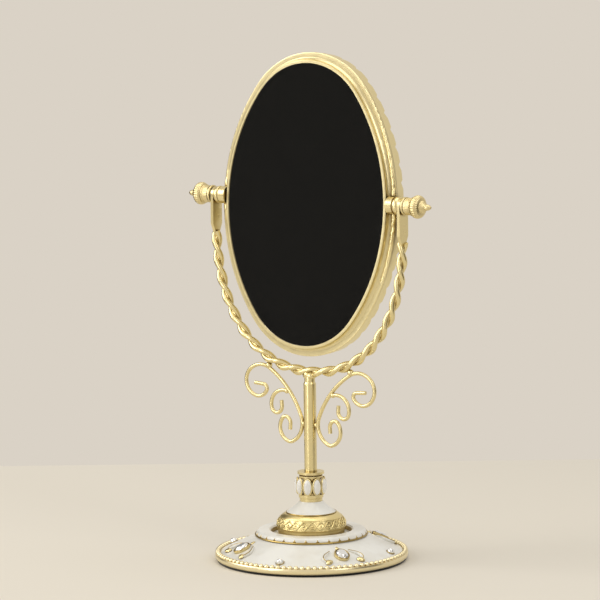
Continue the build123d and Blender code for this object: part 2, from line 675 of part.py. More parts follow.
def leaf_place(share):
    """A plane on the rim's back edge, a share of the way round: x runs along the rim and z outward."""
    spans = [radius * math.radians(last - first) for centre, radius, first, last in OVAL_ARCS]
    left = share * sum(spans)
    for (centre, radius, first, last), span in zip(OVAL_ARCS, spans):
        if left <= span:
            angle = math.radians(first) + left / radius
            break
        left -= span
    out = Vector(math.cos(angle), 0, math.sin(angle))
    along = Vector(-math.sin(angle), 0, math.cos(angle))
    arc_centre = Vector(centre[0], RIM_BACK, centre[1] - OVAL_DROP)
    return Plane(origin=arc_centre + out * (radius + LEAF_INNER), x_dir=along, z_dir=out)


# Front case: a lip over the glass, a cove and a flat flange with a rounded edge
flange_front = CASE_BACK - FLANGE_THICK
front_case = oval_ring(outline(
    (0, LIP_FRONT), (CASE_OUTER - LIP_BEVEL, LIP_FRONT), (CASE_OUTER + LIP_PROUD, GLASS_FRONT - LIP_EDGE),
    ((CASE_OUTER + COVE_WALL, GLASS_BACK + COVE_BACK), (CASE_FLANGE - FLANGE_FACE, flange_front)),
    (CASE_FLANGE - FLANGE_BEAD, flange_front),
    ((CASE_FLANGE - FLANGE_CORNER, flange_front + FLANGE_CORNER), (CASE_FLANGE, flange_front + FLANGE_BEAD)),
    (CASE_FLANGE, CASE_BACK), (CASE_INNER + MOUTH_FLARE, CASE_BACK), (CASE_INNER, GLASS_BACK + MOUTH_STRAIGHT),
    (CASE_INNER, GLASS_FRONT), (0, GLASS_FRONT)))
front_glass = oval_slab(oval_face(GLASS_EDGE), GLASS_FRONT, GLASS_BACK)
packing_board = oval_slab(oval_face(GLASS_EDGE - CASE_GAP), GLASS_BACK, REAR_GLASS_FRONT)
rear_glass = oval_slab(oval_face(GLASS_EDGE), REAR_GLASS_FRONT, REAR_GLASS_BACK)

# Rear frame: a groove, a rim that ends in leaves and a rounded back with its own lip
groove = CASE_FLANGE - GROOVE_DEPTH
rear_frame = oval_ring(outline(
    (CASE_INNER, CASE_BACK), (groove, CASE_BACK), (groove, RIM_FRONT), (RIM_OUTER, RIM_FRONT),
    (RIM_OUTER, RIM_BACK), (LEAF_INNER, RIM_BACK),
    ((LEAF_INNER - BACK_ROUND, FRAME_END - BACK_DROP), (LEAF_INNER - BACK_LAND, FRAME_END)),
    (0, FRAME_END), (0, REAR_GLASS_BACK), (CASE_INNER, REAR_GLASS_BACK)))
leaf_notch = extrude(
    outline((-NOTCH_HALF, -NOTCH_PAST), (NOTCH_HALF, -NOTCH_PAST), (NOTCH_LEAN, LEAF_NOTCH)),
    LEAF_THICK + NOTCH_PAST)
rear_frame -= [leaf_place((k + 0.5) / LEAF_COUNT) * leaf_notch for k in range(LEAF_COUNT)]


# Pivots: a barrel soldered into a notch of the case, a bush, a stud, a washer and a thumb-nut

def along_x(face):
    """A solid turned about X from a face drawn as length and radius."""
    return revolve(face, Axis.X)


def rod_x(radius, start, end, bore=0.0):
    """A plain bar or tube along X."""
    return along_x(outline((start, bore), (end, bore), (end, radius), (start, radius)))


barrel_room = rod_x(BARREL_RADIUS + BARREL_GAP, BARREL_START - BARREL_GAP, BARREL_END + BARREL_GAP)
notches = [barrel_room, mirror(barrel_room, about=Plane.YZ)]
front_case -= notches
rear_frame -= notches
stub_root = OVAL_HALF_WIDTH + (CASE_INNER + CASE_OUTER) / 2
stub = largest(rod_x(STUB_RADIUS, stub_root, BARREL_START) - front_case)
right_barrel = rod_x(BARREL_RADIUS, BARREL_START, BARREL_END) + stub
right_barrel -= rod_x(STUD_RADIUS, STUD_ROOT, BARREL_END)
right_bush = rod_x(BARREL_RADIUS - BUSH_SET_BACK, BARREL_END, TAB_INNER - RUNNING_GAP, STUD_RADIUS)
right_stud = rod_x(STUD_RADIUS, STUD_ROOT, STUD_END)
friction_end = FRICTION_START + FRICTION_THICK
right_washer = rod_x(FRICTION_RADIUS, FRICTION_START, friction_end, STUD_RADIUS + RUNNING_GAP)


def finial_knob():
    """The right thumb-nut: flange, neck, ring, bulb, stepped cone and a pointed tip."""
    bore = STUD_RADIUS + RUNNING_GAP
    bore_end = STUD_END + BORE_ROOM
    flange_end = KNOB_START + KNOB_FLANGE_LENGTH
    neck_start = flange_end + KNOB_STEP
    neck_end = neck_start + KNOB_NECK_LENGTH
    ring_end = neck_end + KNOB_RING_LENGTH
    bulb_end = ring_end + KNOB_BULB_LENGTH
    cone_start = bulb_end + KNOB_STEP
    cone_end = cone_start + KNOB_CONE_LENGTH
    tip_start = cone_end + KNOB_STEP
    tip_end = tip_start + KNOB_TIP_LENGTH
    return along_x(outline(
        (KNOB_START, bore), (KNOB_START, KNOB_FLANGE), (flange_end, KNOB_FLANGE), (neck_start, KNOB_NECK),
        (neck_end, KNOB_NECK), (neck_end, KNOB_RING), (ring_end, KNOB_RING),
        (((ring_end + bulb_end) / 2, KNOB_BULB), (bulb_end, KNOB_BULB_END)), (cone_start, KNOB_CONE),
        (((cone_start + cone_end) / 2, KNOB_CONE_SIDE), (cone_end, KNOB_CONE_END)), (tip_start, KNOB_TIP_BASE),
        (((tip_start + tip_end) / 2, KNOB_TIP_SIDE), (tip_end, KNOB_TIP)), (tip_end, 0), (bore_end, 0),
        (bore_end, bore)))


right_knob = finial_knob()
left_barrel = mirror(right_barrel, about=Plane.YZ)
left_bush = mirror(right_bush, about=Plane.YZ)
left_stud = mirror(right_stud, about=Plane.YZ)
left_washer = mirror(right_washer, about=Plane.YZ)
left_knob = mirror(right_knob, about=Plane.YZ)

stand = {
    "table_pad": table_pad,
    "base_board": base_board,
    "base_dish": base_dish,
    "rim_band": rim_band,
    "raised_ring": raised_ring,
    "boss": boss,
    "cone": cone,
    "collar": collar,
    "collar_petals": Compound(children=[p.solid() for p in collar_petals]),
    "ballast_disc": ballast_disc,
    "tie_washer": tie_washer,
    "tie_nut": tie_nut,
    "tie_rod": tie_rod,
    "crystal_settings": Compound(children=[p.solid() for p in crystal_settings]),
    "crystals": Compound(children=[p.solid() for p in crystals]),
    "dish_pearls": Compound(children=[p.solid() for p in dish_pearls]),
    "post": post,
    "yoke_strand_a": yoke_strand_a,
    "yoke_strand_b": yoke_strand_b,
    "left_tab": left_tab,
    "right_tab": right_tab,
    "left_scroll": left_scroll,
    "right_scroll": right_scroll,
    "left_curl": left_curl,
    "right_curl": right_curl,
}
head = {
    "front_case": front_case,
    "front_glass": front_glass,
    "packing_board": packing_board,
    "rear_glass": rear_glass,
    "rear_frame": rear_frame,
    "left_barrel": left_barrel,
    "right_barrel": right_barrel,
    "left_bush": left_bush,
    "right_bush": right_bush,
    "left_stud": left_stud,
    "right_stud": right_stud,
    "left_washer": left_washer,
    "right_washer": right_washer,
    "left_knob": left_knob,
    "right_knob": right_knob,
}

# The head hangs on its pivots, leaning back a little
hang = Pos(0, 0, AXIS_HEIGHT) * Rot(-REST_TILT, 0, 0)
os.makedirs("parts", exist_ok=True)
for name, solid in stand.items():
    export_step(solid, f"parts/{name}.step")
for name, solid in head.items():
    export_step(hang * solid, f"parts/{name}.step")
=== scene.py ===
# %% [markdown]
# A gilt table mirror. The oval mirror hangs between two thumb-nuts in a twisted wire yoke, on a post
# that rises from a cream enamelled foot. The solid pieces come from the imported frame, in metres, and
# keep their place. This lesson gives each of them its finish and adds the fine ornament on top.

# %% Load the frame
import cmath
import math

import bmesh
import bpy
from mathutils import Matrix, Vector


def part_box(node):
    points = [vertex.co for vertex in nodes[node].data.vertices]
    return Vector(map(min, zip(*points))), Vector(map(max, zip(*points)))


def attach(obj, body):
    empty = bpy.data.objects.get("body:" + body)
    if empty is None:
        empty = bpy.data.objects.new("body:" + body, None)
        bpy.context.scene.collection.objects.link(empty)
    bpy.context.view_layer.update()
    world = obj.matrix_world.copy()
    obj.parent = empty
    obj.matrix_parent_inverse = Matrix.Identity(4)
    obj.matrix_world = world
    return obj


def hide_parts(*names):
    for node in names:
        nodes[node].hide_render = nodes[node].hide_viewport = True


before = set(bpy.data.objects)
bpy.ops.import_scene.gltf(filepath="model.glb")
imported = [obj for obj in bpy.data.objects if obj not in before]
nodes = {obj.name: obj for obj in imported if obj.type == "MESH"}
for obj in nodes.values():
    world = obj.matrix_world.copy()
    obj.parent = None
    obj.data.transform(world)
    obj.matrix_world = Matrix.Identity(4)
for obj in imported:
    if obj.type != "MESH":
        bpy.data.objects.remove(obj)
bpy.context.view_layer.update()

MM = 0.001

# %% [markdown]
# Colours are written as sRGB hex values, the way a paint chart gives them, and turned to linear light
# once. Materials are short node trees, so one helper adds a node, sets its values and links its inputs.

# %% Colour and node helpers


def linear(code, alpha=1.0):
    """A hex colour as linear light."""
    channels = [int(code[k:k + 2], 16) / 255 for k in (1, 3, 5)]
    return [c / 12.92 if c <= 0.04045 else ((c + 0.055) / 1.055) ** 2.4 for c in channels] + [alpha]


def add(tree, kind, settings=(), inputs=(), links=()):
    """One node with its settings, its input values and the outputs that feed its inputs."""
    node = tree.nodes.new(kind)
    for name, value in dict(settings).items():
        setattr(node, name, value)
    for name, value in dict(inputs).items():
        node.inputs[name].default_value = value
    for name, output in dict(links).items():
        tree.links.new(output, node.inputs[name])
    return node


def start_material(name):
    """An empty material with its shader; returns the material, its tree and the shader."""
    material = bpy.data.materials.new(name)
    material.use_nodes = True
    tree = material.node_tree
    tree.nodes.clear()
    shader = add(tree, "ShaderNodeBsdfPrincipled")
    add(tree, "ShaderNodeOutputMaterial", links={"Surface": shader.outputs["BSDF"]})
    return material, tree, shader


print("mid grey in linear light:", round(linear("#808080")[0], 3))

# %% [markdown]
# The metal is brass, cast or drawn, then gold plated, brushed and lacquered to a pale champagne tone.
# The colour is pale where a place stands open and is painted a darker brown in the grooves and
# hollows that ambient occlusion finds: that is painted shade. A slow mottle in the gloss shows the
# lacquer, and a low bump the waves that brushing leaves.

# %% Gold plate
# Painted shade: the colour is fully dark at this ambient occlusion and below, found with these samples
SHADE_FULL_AT, SHADE_SAMPLES = 0.3, 8
GLOSS_LESS, GLOSS_MORE = 0.06, 0.08
WAVE_MM, WAVE_HEIGHT_MM = 3.0, 0.05


def plated(name, light, deep, gloss, mottle_mm=6.0, shade_reach_mm=2.5, grain=0.3, shade_clear_at=0.8,
           metallic=1.0):
    """Plated metal: painted shade darkens its grooves within a given reach, and the gloss varies slowly."""
    material, tree, shader = start_material(name)
    where = add(tree, "ShaderNodeTexCoord").outputs["Object"]
    # Painted shade: ambient occlusion turns the light colour to the dark one in grooves and hollows
    occlusion = add(tree, "ShaderNodeAmbientOcclusion", {"samples": SHADE_SAMPLES}, {"Distance": shade_reach_mm * MM})
    groove_shade = add(tree, "ShaderNodeValToRGB", links={"Fac": occlusion.outputs["AO"]})
    groove_shade.color_ramp.elements[0].position = SHADE_FULL_AT
    groove_shade.color_ramp.elements[0].color = linear(deep)
    groove_shade.color_ramp.elements[1].position = shade_clear_at
    groove_shade.color_ramp.elements[1].color = linear(light)
    mottle = add(tree, "ShaderNodeTexNoise", inputs={"Scale": 1 / (mottle_mm * MM), "Detail": 4.0},
                 links={"Vector": where})
    rough = add(tree, "ShaderNodeMapRange", links={"Value": mottle.outputs["Fac"]},
                inputs={"To Min": gloss - GLOSS_LESS, "To Max": gloss + GLOSS_MORE})
    waves = add(tree, "ShaderNodeTexNoise", inputs={"Scale": 1 / (WAVE_MM * MM), "Detail": 0.0},
                links={"Vector": where})
    bump = add(tree, "ShaderNodeBump", inputs={"Strength": grain, "Distance": WAVE_HEIGHT_MM * MM},
               links={"Height": waves.outputs["Fac"]})
    shader.inputs["Metallic"].default_value = metallic
    tree.links.new(groove_shade.outputs["Color"], shader.inputs["Base Color"])
    tree.links.new(rough.outputs["Result"], shader.inputs["Roughness"])
    tree.links.new(bump.outputs["Normal"], shader.inputs["Normal"])
    return material


# Satin: broad soft highlights and a pale straw tone
champagne_plate = plated("satin_gold_plated_brass", "#EBDCA8", "#8A6C34", 0.28)
# Stamped and rubbed: a deeper yellow on the stems, with painted shade dark between them
stamped_plate = plated("stamped_gold_plated_brass", "#F4E3A8", "#6A4F1C", 0.34)
# Antiqued: a tan tone of its own, so thin lines read brown against the enamel, with painted shade in their
# grooves
antique_plate = plated("antiqued_gold_plated_brass", "#B39C62", "#5E4B24", 0.34)
# Pressed sheet of the mirror's case: painted shade darkens its wide cove under the lip
case_plate = plated("pressed_gold_plated_brass", "#F3E6B6", "#63491A", 0.3, shade_reach_mm=9.0, shade_clear_at=0.9)
# Fluted nuts: painted shade lies in the fine flutes
fluted_plate = plated("fluted_gold_plated_brass", "#E6D6A4", "#6F5626", 0.36, shade_reach_mm=1.2,
                      shade_clear_at=0.95)
# Beaded rim of the foot: a pale rubbed gold, with only light painted shade between the beads
beaded_plate = plated("beaded_gold_plated_brass", "#F6EAC2", "#C2A664", 0.3, shade_reach_mm=1.2)
# Turned steel inside the foot: grey, even, half bright
steel = plated("bright_turned_steel", "#C9C9C6", "#8A8986", 0.3)
# Foil-backed pressed glass: it flashes like a silver mirror, a little clouded
paste_stone = plated("foil_backed_paste", "#F4F6F8", "#8B9097", 0.1, mottle_mm=3.0, shade_reach_mm=1.0,
                     grain=0.0, metallic=0.65)
print("metals:", champagne_plate.name, stamped_plate.name, antique_plate.name, case_plate.name)

# %% [markdown]
# The foot is stove enamelled: a cream paint baked on, glossy, with a faint orange peel and a slightly
# warmer tone where it pools. The petals are white glaze. A thin clear coat gives both their hard shine.

# %% Enamel
POOL_LOW, POOL_HIGH, POOL_MM = 0.3, 0.6, 14.0
PEEL_MM, PEEL_HEIGHT_MM, PEEL_STRENGTH = 1.6, 0.1, 0.08
COAT, COAT_ROUGH = 0.4, 0.08


def enamel(name, light, deep, gloss):
    """Baked enamel: two close tones in slow pools, orange peel and a clear coat."""
    material, tree, shader = start_material(name)
    where = add(tree, "ShaderNodeTexCoord").outputs["Object"]
    pool = add(tree, "ShaderNodeTexNoise", inputs={"Scale": 1 / (POOL_MM * MM), "Detail": 3.0},
               links={"Vector": where})
    tone = add(tree, "ShaderNodeValToRGB", links={"Fac": pool.outputs["Fac"]})
    tone.color_ramp.elements[0].position = POOL_LOW
    tone.color_ramp.elements[0].color = linear(deep)
    tone.color_ramp.elements[1].position = POOL_HIGH
    tone.color_ramp.elements[1].color = linear(light)
    peel = add(tree, "ShaderNodeTexNoise", inputs={"Scale": 1 / (PEEL_MM * MM)}, links={"Vector": where})
    bump = add(tree, "ShaderNodeBump", inputs={"Strength": PEEL_STRENGTH, "Distance": PEEL_HEIGHT_MM * MM},
               links={"Height": peel.outputs["Fac"]})
    tree.links.new(tone.outputs["Color"], shader.inputs["Base Color"])
    tree.links.new(bump.outputs["Normal"], shader.inputs["Normal"])
    shader.inputs["Roughness"].default_value = gloss
    shader.inputs["Coat Weight"].default_value = COAT
    shader.inputs["Coat Roughness"].default_value = COAT_ROUGH
    return material


# Cream paint: warm in its pools, with a soft gloss under the coat
cream_enamel = enamel("cream_stove_enamel", "#EFEEE8", "#E5E2D9", 0.3)
# White glaze: cooler and harder, so the petals carry small sharp highlights
white_enamel = enamel("white_glaze", "#F4F3F0", "#E9E6E0", 0.2)
print("enamels:", cream_enamel.name, white_enamel.name)

# %% [markdown]
# Felt, board and vulcanised fibre are all pressed fibre: dull, with a light fuzz, and they differ in
# colour and in how long their fibres are. The felt's own fibres are too fine to show, so they are drawn
# coarser. The glass is silvered on its back, so it is a clean mirror with faint wiping marks.

# %% Pressed fibre and silvered glass
FUZZ_STRENGTH, FUZZ_HEIGHT_MM = 0.6, 0.2
FIBRE_ROUGH, FIBRE_SHEEN = 0.95, 0.3
WIPE_MM, WIPE_ROUGH = 25.0, 0.03


def felt(name, light, deep, fibre_mm=0.7):
    """Pressed fibre: two tones in fine noise, a raised fuzz and a soft sheen."""
    material, tree, shader = start_material(name)
    where = add(tree, "ShaderNodeTexCoord").outputs["Object"]
    fibre = add(tree, "ShaderNodeTexNoise", inputs={"Scale": 1 / (fibre_mm * MM), "Detail": 6.0},
                links={"Vector": where})
    tone = add(tree, "ShaderNodeValToRGB", links={"Fac": fibre.outputs["Fac"]})
    tone.color_ramp.elements[0].color = linear(deep)
    tone.color_ramp.elements[1].color = linear(light)
    bump = add(tree, "ShaderNodeBump", inputs={"Strength": FUZZ_STRENGTH, "Distance": FUZZ_HEIGHT_MM * MM},
               links={"Height": fibre.outputs["Fac"]})
    tree.links.new(tone.outputs["Color"], shader.inputs["Base Color"])
    tree.links.new(bump.outputs["Normal"], shader.inputs["Normal"])
    shader.inputs["Roughness"].default_value = FIBRE_ROUGH
    shader.inputs["Sheen Weight"].default_value = FIBRE_SHEEN
    return material


# Wool felt: nearly black, it closes the foot with a dark line
black_felt = felt("black_wool_felt", "#1A1815", "#0B0A09")
# Board of coarse pulp: brown grey and mottled
board = felt("grey_fibreboard", "#8A7A63", "#6E604C", 1.5)
# Vulcanised fibre: a dull black ring beside each nut
washer_fibre = felt("black_vulcanised_fibre", "#2A2724", "#151311")

# Float glass silvered behind: bright and clean, clouded a little where it was wiped
silvered_glass, tree, shader = start_material("silvered_float_glass")
where = add(tree, "ShaderNodeTexCoord").outputs["Object"]
wipe = add(tree, "ShaderNodeTexNoise", inputs={"Scale": 1 / (WIPE_MM * MM), "Detail": 3.0},
           links={"Vector": where})
film = add(tree, "ShaderNodeMapRange", inputs={"To Min": 0.0, "To Max": WIPE_ROUGH},
           links={"Value": wipe.outputs["Fac"]})
tree.links.new(film.outputs["Result"], shader.inputs["Roughness"])
shader.inputs["Base Color"].default_value = linear("#F2F4F3")
shader.inputs["Metallic"].default_value = 1.0
print("fibre and glass:", black_felt.name, board.name, washer_fibre.name, silvered_glass.name)

# %% [markdown]
# Each solid piece keeps the material slot that its record names, so the finishes go on by slot. Some
# gold pieces were made another way than the rest, and get the plate that shows it; the mirror's case
# gets the plate with painted shade in its cove.

# %% Dress the solid pieces
finishes = {
    "gold_plate": champagne_plate, "cream_enamel": cream_enamel, "white_enamel": white_enamel,
    "cut_glass": paste_stone, "pearl": paste_stone, "silvered_glass": silvered_glass, "fibreboard": board,
    "black_felt": black_felt, "ballast_iron": steel, "bright_steel": steel, "black_fibre": washer_fibre}
own_plates = {
    "boss": stamped_plate, "rim_band": beaded_plate, "front_case": case_plate, "rear_frame": case_plate}
for node in nodes.values():
    for slot in node.material_slots:
        slot.material = finishes[slot.material.name]
for name, plate in own_plates.items():
    nodes[name].material_slots[0].material = plate
print("dressed", len(nodes), "solid pieces")

# %% [markdown]
# New pieces are drawn in millimetres, which suits sizes read off a small object, and placed in metres.
# Most of the ornament is turned, or is wire and small beads soldered on. All of these are loops of
# points joined side by side, so one helper joins loops, and others lay them along a profile or a path.

# %% Piece helpers


def piece(name, shape, material, body, place=Matrix.Identity(4), sharp_degrees=35.0):
    """A mesh piece from points in millimetres, shaded smooth up to an angle, riding on a body."""
    verts, faces = shape
    mesh = bpy.data.meshes.new(name)
    mesh.from_pydata([place @ (Vector(v) * MM) for v in verts], [], faces)
    work = bmesh.new()
    work.from_mesh(mesh)
    bmesh.ops.recalc_face_normals(work, faces=work.faces)
    work.to_mesh(mesh)
    work.free()
    mesh.shade_smooth()
    mesh.set_sharp_from_angle(angle=math.radians(sharp_degrees))
    mesh.materials.append(material)
    made = bpy.data.objects.new(name, mesh)
    bpy.context.scene.collection.objects.link(made)
    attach(made, body)
    return made


def rings(loops, closed=False):
    """Points and faces that join loops of equal count, capped at both ends unless they close."""
    verts = [point for loop in loops for point in loop]
    count = len(loops[0])
    faces = []
    for ring in range(len(loops) if closed else len(loops) - 1):
        low, high = ring * count, (ring + 1) % len(loops) * count
        for k in range(count):
            after = (k + 1) % count
            faces.append([low + k, low + after, high + after, high + k])
    if not closed:
        faces.append(list(range(count))[::-1])
        faces.append(list(range(len(verts) - count, len(verts))))
    return verts, faces


def joined(shapes):
    """Many shapes as one set of points and faces."""
    verts, faces = [], []
    for points, sides in shapes:
        faces += [[index + len(verts) for index in face] for face in sides]
        verts += points
    return verts, faces


def around(count, start=0.0):
    """Even turns of a full circle, in radians."""
    return [start + 2 * math.pi * k / count for k in range(count)]


def turn_point(radius, turn, height):
    """A point at a radius and a turn about the upright axis."""
    return Vector((radius * math.cos(turn), radius * math.sin(turn), height))


print("six even turns:", [round(math.degrees(turn)) for turn in around(6)])

# %% [markdown]
# A turned piece is a profile spun about its axis, and its rounded parts are arcs. An arc is easiest to
# give by three points that it passes through. Its centre then comes from the circle through three
# points, which takes one line when points of the plane are complex numbers.

# %% Turning helpers


def arc(start, middle, end, count):
    """Points of the arc through three profile points."""
    a, b, c = (complex(*point) for point in (start, middle, end))
    w = (c - a) / (b - a)
    centre = (b - a) * (w - abs(w) ** 2) / (2j * w.imag) + a
    spoke = a - centre
    sweep = cmath.phase((c - centre) / spoke)
    bend = cmath.phase((b - centre) / spoke)
    if sweep * bend < 0:
        sweep += math.copysign(2 * math.pi, bend)
    points = [centre + spoke * cmath.exp(1j * sweep * k / count) for k in range(count + 1)]
    return [(point.real, point.imag) for point in points]


def lathe(profile, steps, swell=None):
    """A shape turned about Z from (radius, height) pairs; swell scales a radius by its turn."""
    return rings([[turn_point(radius * (swell(turn, height) if swell else 1.0), turn, height)
                   for turn in around(steps)] for radius, height in profile])


def on_pivot(node, sign):
    """The frame of a turned piece on the pivot axis, z pointing outwards, and the piece's length."""
    low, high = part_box(node)
    start = low.x if sign > 0 else high.x
    place = Matrix.Translation((start, 0, (low.z + high.z) / 2))
    return place @ Matrix.Rotation(sign * math.pi / 2, 4, "Y"), (high.x - low.x) / MM


SIDES = (("right", 1), ("left", -1))
AXIS_HEIGHT = on_pivot("left_knob", -1)[0].translation.z / MM
print("pivot axis at", round(AXIS_HEIGHT, 1), "mm")

# %% [markdown]
# The thumb-nuts are turned finials: a flange, a fluted neck, a ring, an egg-shaped bulb with fine
# flutes and a stepped tip. A lathe profile gives the turning, and the flutes come from letting the
# radius wave with the angle over the neck and the bulb only.

# %% Fluted thumb-nuts
KNOB_BORE, EDGE, STEP = 2.2, 0.25, 0.1
FLANGE, FLANGE_END = 5.8, 1.6
NECK, NECK_START, NECK_END, NECK_GROOVE = 5.5, 2.0, 5.7, 0.5
RING, RING_START, RING_END = 6.1, 5.9, 7.1
BULB, BULB_FOOT, BULB_START, BULB_WIDEST, BULB_END = 7.2, 4.7, 7.1, 8.9, 13.0
CONE, CONE_SIDE, CONE_END_RADIUS, CONE_START, CONE_END = 4.6, 3.5, 2.4, 13.1, 15.8
TIP, TIP_SIDE, TIP_END_RADIUS, TIP_START, TIP_END = 2.0, 1.7, 0.5, 16.2, 19.7
NECK_FLUTES, NECK_CUT = 32, 0.03
BULB_FLUTES, BULB_CUT = 28, 0.04
# A multiple of both counts of flutes, so that all flutes come out alike
KNOB_STEPS = 224
NECK_LEVELS, RING_LEVELS, BULB_LEVELS, CONE_LEVELS, TIP_LEVELS = 8, 8, 18, 6, 8
KNOB_SHARP = 50.0


def knob_profile():
    """The nut's outline from its bore at the flange to its tip, as (radius, height) pairs."""
    flange = [(KNOB_BORE, 0), (FLANGE - EDGE, 0), (FLANGE, EDGE), (FLANGE, FLANGE_END - EDGE),
              (FLANGE - EDGE, FLANGE_END), (NECK - NECK_GROOVE, FLANGE_END + STEP),
              (NECK - NECK_GROOVE, NECK_START - STEP)]
    neck = [(NECK, NECK_START + (NECK_END - NECK_START) * k / NECK_LEVELS) for k in range(NECK_LEVELS + 1)]
    ring = arc((NECK + STEP, RING_START), (RING, (RING_START + RING_END) / 2),
               (NECK + 2 * STEP, RING_END), RING_LEVELS)
    bulb = arc((NECK + 4 * STEP, BULB_START + STEP), (BULB, BULB_WIDEST),
               (BULB_FOOT, BULB_END), BULB_LEVELS)
    cone = arc((CONE, CONE_START), (CONE_SIDE, (CONE_START + CONE_END) / 2),
               (CONE_END_RADIUS, CONE_END), CONE_LEVELS)
    tip = arc((TIP, TIP_START), (TIP_SIDE, (TIP_START + TIP_END) / 2),
              (TIP_END_RADIUS, TIP_END), TIP_LEVELS)
    return flange + neck + ring + bulb + cone + [(TIP, CONE_END + STEP)] + tip


def knob_flutes(turn, height):
    """Sharp flutes between rounded ribs, on the neck and on the bulb, where they fade at its ends."""
    if NECK_START < height < NECK_END:
        return 1 - NECK_CUT * (1 - abs(math.cos(NECK_FLUTES / 2 * turn)))
    if BULB_START + 2 * STEP < height < CONE_END:
        fade = math.sin(math.pi * (height - BULB_START) / (CONE_END - BULB_START)) ** 0.5
        return 1 - BULB_CUT * fade * (1 - abs(math.cos(BULB_FLUTES / 2 * turn)))
    return 1.0


for side, sign in SIDES:
    place, length = on_pivot(side + "_knob", sign)
    knob = piece(side + "_fluted_knob", lathe(knob_profile(), KNOB_STEPS, knob_flutes), fluted_plate,
                 side + "_thumb_knob", place, KNOB_SHARP)
    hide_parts(side + "_knob")
print("thumb-nuts", round(length, 1), "mm long")

# %% [markdown]
# Between each barrel and its tab turns a short bush. It is turned with a groove against the barrel and
# a rounded shoulder towards the tab, so that the two read as separate rings.

# %% Turned bushes
BUSH_RADIUS, BUSH_GROOVE, BUSH_END, BUSH_BORE = 5.6, 4.9, 4.7, 2.1
BUSH_LIP, BUSH_BEND = 0.15, 0.25
GROOVE_SHARE, LIP_SHARE, FLAT_SHARE, SHOULDER_SHARE, BEND_SHARE = 0.2, 0.26, 0.32, 0.45, 0.8
BUSH_STEPS, SHOULDER_LEVELS = 96, 8


def bush_profile(length):
    """The bush's outline over its length, as (radius, height) pairs."""
    groove = [(BUSH_BORE, 0), (BUSH_GROOVE, 0), (BUSH_GROOVE, length * GROOVE_SHARE)]
    flat = [(BUSH_RADIUS - BUSH_LIP, length * LIP_SHARE), (BUSH_RADIUS, length * FLAT_SHARE)]
    shoulder = arc((BUSH_RADIUS, length * SHOULDER_SHARE), (BUSH_RADIUS - BUSH_BEND, length * BEND_SHARE),
                   (BUSH_END, length), SHOULDER_LEVELS)
    return groove + flat + shoulder + [(BUSH_BORE, length)]


for side, sign in SIDES:
    place, length = on_pivot(side + "_bush", sign)
    bush = piece(side + "_turned_bush", lathe(bush_profile(length), BUSH_STEPS), champagne_plate,
                 "mirror_head", place)
    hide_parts(side + "_bush")
print("bushes", round(length, 2), "mm long")

# %% [markdown]
# Bezels, stems, lines and scrolls are all wire. A wire is a round loop carried along a path: at each
# point the loop stands square to the way, and its first spoke is turned as little as possible from the
# point before, so the wire doesn't twist.

# %% Wire helpers


def wire(path, radius, sides=8, closed=False):
    """A round wire along a path; a list of radii lets it swell and taper."""
    radii = radius if isinstance(radius, list) else [radius] * len(path)
    loops = []
    up = None
    for k, here in enumerate(path):
        before = path[k - 1] if k or closed else here
        after = path[(k + 1) % len(path)] if closed or k + 1 < len(path) else here
        way = (after - before).normalized()
        up = way.orthogonal() if up is None else up - way * up.dot(way)
        up.normalize()
        side = way.cross(up)
        loops.append([here + (up * math.cos(turn) + side * math.sin(turn)) * radii[k]
                      for turn in around(sides)])
    return rings(loops, closed)


def oval(half_x, half_y, height, count, start=0.0):
    """Points of a flat oval."""
    return [Vector((half_x * math.cos(turn), half_y * math.sin(turn), height))
            for turn in around(count, start)]


def hoop(radius, height, thick, steps=180):
    """A plain wire ring round the upright axis."""
    return wire(oval(radius, radius, height, steps), thick, closed=True)


print("a hoop has", len(hoop(10.0, 0.0, 0.5)[0]), "points")

# %% [markdown]
# The white petals of the collar sit in gold bezels. Each bezel is a thin wire bent to the petal's oval
# and pressed round its edge, so that a narrow white oval shows inside a gold one.

# %% Petal bezels on the collar
PETAL_COUNT, PETAL_TURN = 9, math.radians(-108.5)
PETAL_FLAT, PETAL_MIDDLE = 7.2, 47.85
BEZEL_HALF_WIDTH, BEZEL_HALF_HEIGHT, BEZEL_WIRE, BEZEL_LIFT = 2.6, 5.05, 0.6, 1.4
BEZEL_STEPS = 40
UP = Vector((0, 0, 1))


def petal_bezel(angle):
    """A wire oval that lies upright in front of the petal at an angle of the collar."""
    out, along = turn_point(1, angle, 0), turn_point(1, angle + math.pi / 2, 0)
    centre = out * (PETAL_FLAT + BEZEL_LIFT) + UP * PETAL_MIDDLE
    edge = oval(BEZEL_HALF_WIDTH, BEZEL_HALF_HEIGHT, 0, BEZEL_STEPS)
    return wire([centre + along * point.x + UP * point.y for point in edge], BEZEL_WIRE, closed=True)


bezels = [petal_bezel(angle) for angle in around(PETAL_COUNT, PETAL_TURN)]
piece("petal_bezels", joined(bezels), champagne_plate, "stand")
print("petal bezels:", len(bezels))

# %% [markdown]
# A stamped band of vine runs round the boss: double stems that cross over and under each other between
# two plain edges, with a berry in every loop. It is wire work here, laid on the boss's own curve, so
# that each stem throws a real shadow. Berries, and the drops further on, are domed beads.

# %% Vine band on the boss
BOSS_FOOT, BOSS_BELLY, BOSS_TUCK = (21.3, 19.8), (21.9, 23.1), (20.6, 26.4)
BOSS_SHOULDER, BOSS_TOP = (19.0, 28.9), (15.9, 30.6)
VINE_MIDDLE, VINE_WAVES, VINE_STEPS = 24.9, 12, 720
VINE_LIFT, VINE_WEAVE = 0.1, 0.25
